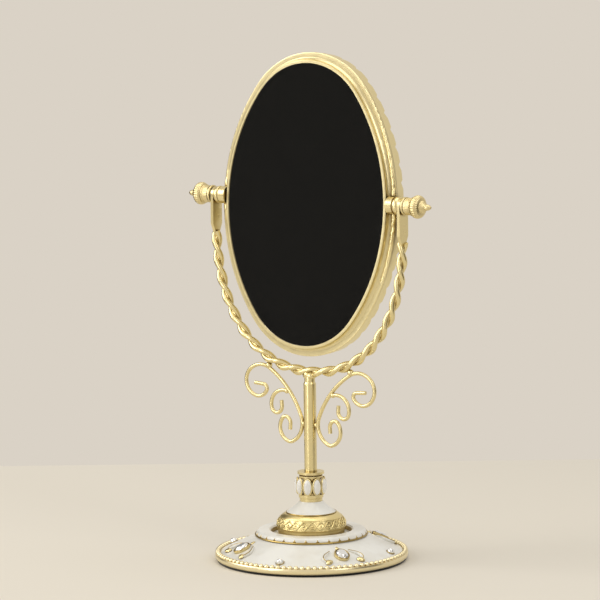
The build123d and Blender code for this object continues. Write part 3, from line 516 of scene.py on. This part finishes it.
# Each stem is a thick strand and a thin one inside it, given by how far it swings and its radius
VINE_STRANDS = ((2.3, 0.42), (1.4, 0.28))
VINE_EDGE, VINE_EDGE_LIFT, VINE_EDGE_WIRE = 3.0, 0.05, 0.3
BERRY_HALF, BERRY_SINK = (0.85, 0.75, 0.75), 0.1
BEAD_LEVELS, BOSS_LEVELS = 8, 40
boss_curve = arc(BOSS_FOOT, BOSS_BELLY, BOSS_TUCK, BOSS_LEVELS)
boss_curve += arc(BOSS_TUCK, BOSS_SHOULDER, BOSS_TOP, BOSS_LEVELS)


def boss_radius(height):
    """The boss's radius at a height, from the nearest point of its curve."""
    return min(boss_curve, key=lambda point: abs(point[1] - height))[0]


def vine_stem(way, reach, thick):
    """One waving strand round the boss; the two ways are mirror images and weave past each other."""
    path = []
    for turn in around(VINE_STEPS):
        height = VINE_MIDDLE + way * reach * math.sin(VINE_WAVES * turn)
        weave = way * VINE_WEAVE * math.cos(VINE_WAVES * turn)
        path.append(turn_point(boss_radius(height) + VINE_LIFT + weave, turn, height))
    return wire(path, thick, closed=True)


def bead(place, half, point=0.0, steps=14):
    """A domed bead with three half sizes in a placed frame; point draws its -x end out to a tip."""
    loops = []
    for level in range(1, BEAD_LEVELS):
        polar = math.pi * level / BEAD_LEVELS
        girth = math.sin(polar)
        loop = []
        for turn in around(steps):
            x, y = math.cos(turn), math.sin(turn)
            narrow = 1 - point * max(0.0, -x)
            spot = Vector((half[0] * x * girth, half[1] * y * narrow * girth, half[2] * math.cos(polar)))
            loop.append(place @ spot)
        loops.append(loop)
    return rings(loops)


vine = [vine_stem(way, *strand) for strand in VINE_STRANDS for way in (1, -1)]
for height in (VINE_MIDDLE - VINE_EDGE, VINE_MIDDLE + VINE_EDGE):
    vine.append(hoop(boss_radius(height) + VINE_EDGE_LIFT, height, VINE_EDGE_WIRE))
berry_turns = around(2 * VINE_WAVES, math.pi / (2 * VINE_WAVES))
for turn in berry_turns:
    berry = Matrix.Translation(turn_point(boss_radius(VINE_MIDDLE) - BERRY_SINK, turn, VINE_MIDDLE))
    vine.append(bead(berry @ Matrix.Rotation(turn, 4, "Z"), BERRY_HALF))
piece("boss_vine", joined(vine), stamped_plate, "stand")
print("vine loops:", len(berry_turns))

# %% [markdown]
# Thin gilt lines part the enamel: one below the cone, one at the foot of the raised ring and a band
# on its inner wall, round the boss. Above the foot line stands a row of small gilt points, each a
# folded triangle lying on the ring's rounded side.

# %% Gilt lines and points
CONE_LINE, RING_LINE = (15.9, 30.85, 0.4), (35.75, 16.55, 0.65)
WELL_SECTION = [(25.8, 16.3), (25.8, 18.85), (26.05, 18.95), (26.05, 16.3)]
WELL_STEPS = 180
well = rings([[turn_point(radius, turn, height) for radius, height in WELL_SECTION]
              for turn in around(WELL_STEPS)], True)
gilt_lines = [hoop(*CONE_LINE), hoop(*RING_LINE), well]
piece("gilt_lines", joined(gilt_lines), antique_plate, "stand")

POINT_COUNT, POINT_HALF, POINT_ROOT, POINT_SHARP = 30, 1.35, 1.6, 10.0
POINT_FOOT, POINT_BELLY, POINT_TOP = (35.62, 17.05), (35.85, 17.8), (34.9, 18.95)
POINT_FACES = [[0, 1, 3], [1, 2, 3], [2, 0, 3], [1, 0, 4], [2, 1, 4], [0, 2, 4]]


def gilt_point(turn):
    """A folded triangle: two foot corners, the top, a raised belly and a root inside the ring."""
    spread = POINT_HALF / POINT_FOOT[0]
    corners = [turn_point(POINT_FOOT[0], turn + way * spread, POINT_FOOT[1]) for way in (-1, 1)]
    top = turn_point(POINT_TOP[0], turn, POINT_TOP[1])
    belly = turn_point(POINT_BELLY[0], turn, POINT_BELLY[1])
    root = turn_point(POINT_FOOT[0] - POINT_ROOT, turn, POINT_BELLY[1])
    return corners + [top, belly, root], POINT_FACES


points = [gilt_point(turn) for turn in around(POINT_COUNT)]
piece("gilt_points", joined(points), antique_plate, "stand", sharp_degrees=POINT_SHARP)
print("gilt lines:", len(gilt_lines), "points:", len(points))

# %% [markdown]
# Four foil-backed stones are set in the dish. The real ones are pressed glass with a silvered back, so
# they flash like a faceted mirror. Rings of points that step round by half a facet give the three-sided
# facets of the crown, and flat shading keeps every edge.

# %% Stones of the dish
dish_low, dish_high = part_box("base_dish")
DISH_RADIUS, DISH_TOP, DISH_SHOULDER, SEAT_RADIUS = dish_high.x / MM, dish_high.z / MM, 5.5, 35.0
MOTIF_COUNT, MOTIF_TURN, STONE_PLACE = 4, math.radians(-31.0), 48.0
STONE_HALF = (5.0, 4.0)
# Each ring of the stone: its share of the half size, its height and its step in facets
STONE_RINGS = [(1.0, 0.3, 0), (1.0, 1.5, 0), (0.84, 2.35, 0.5), (0.6, 3.2, 0)]
STONE_FACETS, STONE_SHARP = 12, 3.0
RIM_OUT, RIM_LIFT, RIM_WIRE, RIM_STEPS = 0.35, 1.5, 0.45, 48
motif_angles = around(MOTIF_COUNT, MOTIF_TURN)


def on_dish(radius, angle):
    """A frame on the dish: x runs downhill, y round the dish and z stands off it."""
    rise, run = DISH_TOP - DISH_SHOULDER, DISH_RADIUS - SEAT_RADIUS
    out = turn_point(1, angle, 0)
    downhill = (out * run - UP * rise).normalized()
    off = (out * rise + UP * run).normalized()
    axes = Matrix((downhill, off.cross(downhill), off)).transposed().to_4x4()
    height = DISH_SHOULDER + rise * (DISH_RADIUS - radius) / run
    return Matrix.Translation(turn_point(radius, angle, height)) @ axes


def stone(place):
    """A faceted oval stone in a placed frame; its four-sided faces are split into flat triangles."""
    loops = []
    for share, lift, step in STONE_RINGS:
        girdle = oval(STONE_HALF[0] * share, STONE_HALF[1] * share, lift, STONE_FACETS,
                      2 * math.pi * step / STONE_FACETS)
        loops.append([place @ point for point in girdle])
    verts, faces = rings(loops)
    facets = []
    for face in faces:
        facets += [face] if len(face) != 4 else [face[:3], [face[0]] + face[2:]]
    return verts, facets


stone_places = [on_dish(STONE_PLACE, angle) for angle in motif_angles]
stones = piece("faceted_stones", joined([stone(place) for place in stone_places]), paste_stone,
               "stand", sharp_degrees=STONE_SHARP)
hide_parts("crystals")
stone_rims = []
for place in stone_places:
    rim = oval(STONE_HALF[0] + RIM_OUT, STONE_HALF[1] + RIM_OUT, RIM_LIFT, RIM_STEPS)
    stone_rims.append(wire([place @ point for point in rim], RIM_WIRE, closed=True))
piece("stone_rims", joined(stone_rims), antique_plate, "stand")
print("stones:", len(stone_places), "of", 2 * STONE_HALF[0], "by", 2 * STONE_HALF[1], "mm")

# %% [markdown]
# Two C-scrolls in low relief hug each stone, and each ends downhill in a gilt drop. A small gilt leaf
# points uphill between them. The cast relief is enamelled with the dish, so the scrolls are cream, and
# only the line along their crest is gilt. A few points give each scroll's line, and a smooth curve
# through them carries its swelling wire.

# %% Scrolls and drops round the stones
SCROLL_PATH = [(-5.4, 6.3), (-4.0, 8.0), (-1.4, 11.2), (1.7, 12.9), (4.6, 12.4), (5.6, 10.8)]
SCROLL_SWELL = [0.4, 0.75, 1.05, 1.1, 0.95, 0.6]
SCROLL_LIFT, SCROLL_STEPS = 0.1, 8
CREST_WIRE, CREST_OUT, CREST_UP = 0.3, 0.45, 0.85
DROP_PLACE, DROP_HALF, DROP_TURN, DROP_POINT = (5.6, 10.9, 0.2), (2.1, 2.9, 1.25), 0.5, 0.35
LEAF_PLACE, LEAF_HALF, LEAF_POINT = (-8.0, 0, 0.1), (1.9, 1.3, 0.75), 0.6


def smooth(points, steps):
    """A smooth path through points (a Catmull-Rom curve), with steps between each two."""
    padded = [points[0] * 2 - points[1]] + points + [points[-1] * 2 - points[-2]]
    path = []
    for p, q, r, s in zip(padded, padded[1:], padded[2:], padded[3:]):
        for k in range(steps):
            t = k / steps
            path.append((q * 2 + (r - p) * t + (p * 2 - q * 5 + r * 4 - s) * t ** 2
                         + (q * 3 - p - r * 3 + s) * t ** 3) * 0.5)
    return path + [points[-1]]


swell = [point.x for point in smooth([Vector((s, 0, 0)) for s in SCROLL_SWELL], SCROLL_STEPS)]
scrolls, crests, drops = [], [], []
for place in stone_places:
    for way in (-1, 1):
        spine = smooth([Vector((x, way * y, SCROLL_LIFT)) for x, y in SCROLL_PATH], SCROLL_STEPS)
        scrolls.append(wire([place @ point for point in spine], swell))
        crest = [point + Vector((0, way * s * CREST_OUT, s * CREST_UP)) for point, s in zip(spine, swell)]
        crests.append(wire([place @ point for point in crest], CREST_WIRE))
        drop = Matrix.Translation((DROP_PLACE[0], way * DROP_PLACE[1], DROP_PLACE[2]))
        drops.append(bead(place @ drop @ Matrix.Rotation(-way * DROP_TURN, 4, "Z"), DROP_HALF, DROP_POINT))
    drops.append(bead(place @ Matrix.Translation(LEAF_PLACE), LEAF_HALF, LEAF_POINT))
piece("dish_scrolls", joined(scrolls), cream_enamel, "stand")
piece("scroll_crests", joined(crests), antique_plate, "stand")
piece("gilt_drops", joined(drops), champagne_plate, "stand")
print("scrolls:", len(scrolls), "drops and leaves:", len(drops))

# %% [markdown]
# Between the motifs sits one small round stone each, pressed into a thin gilt ring.

# %% Rims of the small stones
PEARL_TURN, PEARL_INSET = math.radians(-76.0), 4.3
PEARL_RIM, PEARL_LIFT, PEARL_WIRE, PEARL_STEPS = 2.55, 0.15, 0.35, 32
pearl_rims = []
for angle in around(MOTIF_COUNT, PEARL_TURN):
    place = on_dish(DISH_RADIUS - PEARL_INSET, angle)
    rim = oval(PEARL_RIM, PEARL_RIM, PEARL_LIFT, PEARL_STEPS)
    pearl_rims.append(wire([place @ point for point in rim], PEARL_WIRE, closed=True))
piece("pearl_rims", joined(pearl_rims), antique_plate, "stand")
print("small stone rims:", len(pearl_rims))

# %% [markdown]
# The mirror's oval is drawn with four arcs: two tight ones at its ends and two wide ones at its sides.
# The joins of the arcs follow from the half width, the half height and the radius of the ends. The
# head rests tilted back a little, so its pieces are drawn upright and placed with that tilt.

# %% The mirror's oval
OVAL_HALF_WIDTH, OVAL_HALF_HEIGHT, OVAL_END_RADIUS, OVAL_DROP = 60.6, 90.0, 45.7, 3.0
REST_TILT = math.radians(3.2)
HEAD_PLACE = Matrix.Translation((0, 0, AXIS_HEIGHT * MM)) @ Matrix.Rotation(-REST_TILT, 4, "X")
END_CENTRE = OVAL_HALF_HEIGHT - OVAL_END_RADIUS
SIDE_RADIUS = (END_CENTRE ** 2 + OVAL_HALF_WIDTH ** 2 - OVAL_END_RADIUS ** 2) / (
    2 * (OVAL_HALF_WIDTH - OVAL_END_RADIUS))
SIDE_CENTRE = SIDE_RADIUS - OVAL_HALF_WIDTH
JOIN = math.atan2(END_CENTRE, SIDE_CENTRE)
# Each arc: its centre, its radius and the turns between which it runs
OVAL_ARCS = [
    ((-SIDE_CENTRE, 0), SIDE_RADIUS, -JOIN, JOIN),
    ((0, END_CENTRE), OVAL_END_RADIUS, JOIN, math.pi - JOIN),
    ((SIDE_CENTRE, 0), SIDE_RADIUS, math.pi - JOIN, math.pi + JOIN),
    ((0, -END_CENTRE), OVAL_END_RADIUS, math.pi + JOIN, 2 * math.pi - JOIN)]


def oval_stations(step_mm):
    """Points of the visible glass edge with the outward direction at each."""
    stations = []
    for (x, z), radius, first, last in OVAL_ARCS:
        count = round(radius * (last - first) / step_mm)
        for k in range(count):
            turn = first + (last - first) * k / count
            out = Vector((math.cos(turn), 0, math.sin(turn)))
            stations.append((Vector((x, 0, z - OVAL_DROP)) + out * radius, out))
    return stations


print("side arcs of radius", round(SIDE_RADIUS, 1), "mm")

# %% [markdown]
# Where each pivot barrel is soldered in, the solder ran along the flange of the mirror's case and was
# left lumpy. Sine waves of different lengths move its points, which gives uneven lumps that never
# change between runs, and the run thins out away from the barrel. It ran further on the right side.

# %% Solder runs on the mirror's flange
RUN_MIDDLE, RUN_HALF, RUN_FACE, RUN_RISE, RUN_SINK = 5.0, 1.5, 1.1, 1.1, 0.1
RUN_START, RUN_STEP, RUN_ARCH = 5.3, 0.7, 8
RUN_ENDS = {1: 48.0, -1: 16.0}
# Height and pace, in radians per millimetre, of the waves that make the lumps
LUMP_WAVES = ((0.5, 1.1), (0.3, 0.57), (0.2, 2.3))
LUMP_SHARE, THIN_SHARE, WIDTH_SHARE, WIDTH_PACE = 0.5, 0.4, 0.12, 0.83


def solder_run(side, up):
    """One run from the barrel along the flange, to a side and up or down."""
    near = [station for station in oval_stations(RUN_STEP)
            if side * station[0].x > 0 and RUN_START < up * station[0].z < RUN_ENDS[side]]
    near.sort(key=lambda station: abs(station[0].z))
    loops = []
    for k, (point, out) in enumerate(near):
        along = k * RUN_STEP
        lump = sum(high * math.sin(along * pace + shift)
                   for (high, pace), shift in zip(LUMP_WAVES, (side, up, 0)))
        fade = 1 - k / len(near)
        rise = RUN_SINK + RUN_RISE * fade * (1 + LUMP_SHARE * lump)
        half = RUN_HALF * (THIN_SHARE + (1 - THIN_SHARE) * fade)
        half *= 1 + WIDTH_SHARE * math.sin(along * WIDTH_PACE)
        arch = [math.pi * j / RUN_ARCH for j in range(RUN_ARCH + 1)]
        loops.append([point + out * (RUN_MIDDLE - half * math.cos(turn))
                      + Vector((0, RUN_FACE + RUN_SINK - rise * math.sin(turn), 0)) for turn in arch])
    return rings(loops)


runs = [solder_run(side, up) for side in (1, -1) for up in (1, -1)]
SOLDER_SHARP = 60.0
piece("solder_runs", joined(runs), champagne_plate, "mirror_head", HEAD_PLACE, SOLDER_SHARP)
print("solder runs:", len(runs))

# %% [markdown]
# The yoke is soldered to the post's top. Solder draws itself into a smooth lumpy saddle round the
# twisted wires, here an egg-shaped bead whose points slow waves push in and out.

# %% Solder saddle
YOKE_LOW = 121.5
SADDLE_HALF, SADDLE_SINK, SADDLE_STEPS = (4.7, 3.75, 3.0), 2.3, 28
# Share and pace, in radians per millimetre, of the waves across the saddle and up it
ACROSS_SHARE, ACROSS_PACE, ACROSS_SHIFT, DEEP_PACE = 0.06, 1.3, 0.6, 1.1
UP_SHARE, UP_PACE = 0.05, 1.7


def saddle_swell(point):
    """How far slow waves push a point of the saddle out, as a factor."""
    wave = math.sin(point.x * ACROSS_PACE + ACROSS_SHIFT) * math.cos(point.y * DEEP_PACE)
    return 1 + ACROSS_SHARE * wave + UP_SHARE * math.sin(point.z * UP_PACE + point.x)


verts, faces = bead(Matrix.Identity(4), SADDLE_HALF, steps=SADDLE_STEPS)
saddle = [point * saddle_swell(point) + UP * (YOKE_LOW - SADDLE_SINK) for point in verts]
piece("solder_saddle", (saddle, faces), champagne_plate, "stand", sharp_degrees=SOLDER_SHARP)
print("solder saddle:", [2 * half for half in SADDLE_HALF], "mm")

# %% [markdown]
# Lacquer and solder fill the bottom of the twist's grooves, so no black gap shows between the strands.
# A thin wire along the yoke's own line, a flattened oval, stands for that fill.

# %% Fill of the twisted yoke
YOKE_HALF_WIDTH, YOKE_DROP, YOKE_FULLNESS, YOKE_FILL = 72.8, 90.2, 2.2, 1.0
YOKE_CENTRE = YOKE_LOW + YOKE_DROP
FILL_FIRST, FILL_SWEEP, FILL_STEPS = 4.0, 172.0, 160
fill_path = []
for k in range(FILL_STEPS + 1):
    turn = math.radians(FILL_FIRST + FILL_SWEEP * k / FILL_STEPS)
    reach = ((abs(math.cos(turn)) / YOKE_HALF_WIDTH) ** YOKE_FULLNESS
             + (math.sin(turn) / YOKE_DROP) ** YOKE_FULLNESS) ** (-1 / YOKE_FULLNESS)
    fill_path.append(Vector((reach * math.cos(turn), 0, YOKE_CENTRE - reach * math.sin(turn))))
piece("yoke_fill", wire(fill_path, YOKE_FILL), champagne_plate, "stand")
print("yoke fill:", len(fill_path), "points")

# %% [markdown]
# The picture is taken with a long lens from a little higher than the mirror's top, looking slightly
# down. The camera stands where the photograph's was, worked out from the object's own sizes, with its
# small roll.

# %% Camera
CAMERA_PLACE = Vector((1.43598, -1.99301, 0.49003))
CAMERA_AIM = Vector((-0.00454, -0.00329, 0.16770))
CAMERA_ROLL = math.radians(-0.674)
CAMERA_LENS, CAMERA_SENSOR = 233.3, 36.0
camera = bpy.data.objects.new("camera", bpy.data.cameras.new("camera"))
bpy.context.scene.collection.objects.link(camera)
camera.data.sensor_width = CAMERA_SENSOR
camera.data.lens = CAMERA_LENS


def facing(place, aim, roll=0.0):
    """A frame at a place whose -z axis looks at the aim, with y up before it rolls."""
    turn = (Vector(aim) - Vector(place)).to_track_quat("-Z", "Y").to_matrix().to_4x4()
    return Matrix.Translation(place) @ turn @ Matrix.Rotation(roll, 4, "Z")


camera.matrix_world = facing(CAMERA_PLACE, CAMERA_AIM, CAMERA_ROLL)
bpy.context.scene.camera = camera
camera_turn = math.atan2(CAMERA_PLACE.y, CAMERA_PLACE.x)
print("camera at", [round(c, 3) for c in camera.matrix_world.translation])

# %% [markdown]
# The object stands on a pale matt table, whose back edge runs across the picture behind it.

# %% Table
TABLE_BACK, TABLE_HALF, TABLE_ROUGH = 0.36, 4.5, 0.8
towards = turn_point(1, camera_turn, 0)
across = turn_point(1, camera_turn + math.pi / 2, 0)
back, front = -towards * TABLE_BACK, towards * TABLE_HALF
table_mesh = bpy.data.meshes.new("table_top")
table_mesh.from_pydata([back - across * TABLE_HALF, front - across * TABLE_HALF,
                        front + across * TABLE_HALF, back + across * TABLE_HALF], [], [[0, 1, 2, 3]])
# Painted board, rubbed matt: an even pale tone with no gloss, so no lamp shows in it
matt_paint, tree, shader = start_material("matt_painted_board")
shader.inputs["Base Color"].default_value = linear("#E1DACD")
shader.inputs["Roughness"].default_value = TABLE_ROUGH
shader.inputs["Specular IOR Level"].default_value = 0.0
table_mesh.materials.append(matt_paint)
table = bpy.data.objects.new("table_top", table_mesh)
bpy.context.scene.collection.objects.link(table)
print("table reaches", TABLE_BACK, "m behind the object")

# %% [markdown]
# The surround is one plain pale colour. What the eye, metal and glass see of it has its written
# colour, and what lights the object is a little whiter and weaker, so Light Path parts the two.

# %% Surround
SURROUND_LIGHT = 0.6
world = bpy.data.worlds.new("studio")
bpy.context.scene.world = world
world.use_nodes = True
tree = world.node_tree
tree.nodes.clear()
rays = add(tree, "ShaderNodeLightPath")
eye = add(tree, "ShaderNodeMath", {"operation": "MAXIMUM"}, links={
    0: rays.outputs["Is Camera Ray"], 1: rays.outputs["Is Transmission Ray"]})
seen = add(tree, "ShaderNodeMath", {"operation": "MAXIMUM"}, links={
    0: eye.outputs["Value"], 1: rays.outputs["Is Glossy Ray"]})
lit = add(tree, "ShaderNodeBackground", inputs={"Color": linear("#F6F4F0"), "Strength": SURROUND_LIGHT})
shown = add(tree, "ShaderNodeBackground", inputs={"Color": linear("#DAD2C6"), "Strength": 1.0})
mixed = add(tree, "ShaderNodeMixShader", links={
    0: seen.outputs["Value"], 1: lit.outputs["Background"], 2: shown.outputs["Background"]})
add(tree, "ShaderNodeOutputWorld", links={"Surface": mixed.outputs["Shader"]})
print("surround:", world.name)

# %% [markdown]
# Large soft lamps stand left, right and above. A tall narrow one shows only in reflections, as the
# light streak down the left of the post.

# %% Lamps
STRIP_TURN, STRIP_FAR, STRIP_HEIGHT = camera_turn - math.radians(47), 0.5, 0.3
# Each lamp: its place, its aim, its width and height in metres, its power in watts and its colour
LAMPS = {
    "left_softbox": ((-1.3, -0.9, 1.0), (0, 0, 0.15), 1.0, 1.2, 13, "#FFFCF6"),
    "right_softbox": ((1.2, -0.2, 0.9), (0, 0, 0.15), 0.6, 0.9, 4, "#FFFDFA"),
    "left_strip": (turn_point(STRIP_FAR, STRIP_TURN, STRIP_HEIGHT), (0, 0, STRIP_HEIGHT), 0.08, 0.56, 0.7,
                   "#FFFEFC"),
    "top_softbox": ((0, 0, 1.6), (0, 0, 0), 1.2, 1.2, 6, "#FFFEFC")}
for name, (place, aim, width, height, power, colour) in LAMPS.items():
    light = bpy.data.lights.new(name, "AREA")
    light.shape = "RECTANGLE"
    light.size = width
    light.size_y = height
    light.energy = power
    light.color = linear(colour)[:3]
    lamp = bpy.data.objects.new(name, light)
    bpy.context.scene.collection.objects.link(lamp)
    lamp.matrix_world = facing(place, aim)
    if name == "left_strip":
        lamp.visible_camera = False
        lamp.visible_diffuse = False
print("lamps:", len(LAMPS))

# %% [markdown]
# Dark cards are what gives polished metal its edges in a studio, because metal shows only what it
# reflects. One card stands where the mirror looks from the camera, and two tall ones stand to the
# right and at the back left. They show in reflections only, and cast no shadow.

# %% Dark cards
FLAG_BLACK, CARD_BROWN = "#060606", "#40382A"
FLAG_FAR, FLAG_HALF_WIDTH, FLAG_HALF_HEIGHT = 1.6, 0.105, 0.175
CARD_FAR, CARD_HEIGHT, CARD_HALF_HEIGHT = 0.42, 0.22, 0.22
# Each tall card: its turn from the camera in degrees and its half width
CARDS = {"right_card": (64, 0.16), "left_back_card": (-138, 0.19)}
CORNERS = ((-1, -1), (1, -1), (1, 1), (-1, 1))
glass_low, glass_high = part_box("front_glass")
glass_middle = (glass_low + glass_high) / 2


def card(name, place, half_width, half_height, colour):
    """A dark card that faces the mirror's middle and shows only in glossy reflections."""
    mesh = bpy.data.meshes.new(name)
    mesh.from_pydata([(x * half_width, y * half_height, 0) for x, y in CORNERS], [], [[0, 1, 2, 3]])
    # Flocked card: short upright fibres that swallow nearly all light
    flock, tree, shader = start_material(name + "_flock")
    shader.inputs["Base Color"].default_value = linear(colour)
    shader.inputs["Roughness"].default_value = 1.0
    mesh.materials.append(flock)
    made = bpy.data.objects.new(name, mesh)
    bpy.context.scene.collection.objects.link(made)
    made.matrix_world = facing(place, glass_middle)
    made.visible_camera = False
    made.visible_diffuse = False
    made.visible_shadow = False
    made.visible_transmission = False


normal = Vector((0, -math.cos(REST_TILT), math.sin(REST_TILT)))
look = (glass_middle - CAMERA_PLACE).normalized()
bounce = look - 2 * look.dot(normal) * normal
card("mirror_flag", glass_middle + bounce * FLAG_FAR, FLAG_HALF_WIDTH, FLAG_HALF_HEIGHT, FLAG_BLACK)
for name, (degrees, half_width) in CARDS.items():
    place = turn_point(CARD_FAR, camera_turn + math.radians(degrees), CARD_HEIGHT)
    card(name, place, half_width, CARD_HALF_HEIGHT, CARD_BROWN)
print("cards:", 1 + len(CARDS), "- the mirror looks along", [round(c, 2) for c in bounce])

# %% [markdown]
# The picture is shown with the standard view transform.

# %% Finish
bpy.context.scene.view_settings.view_transform = "Standard"
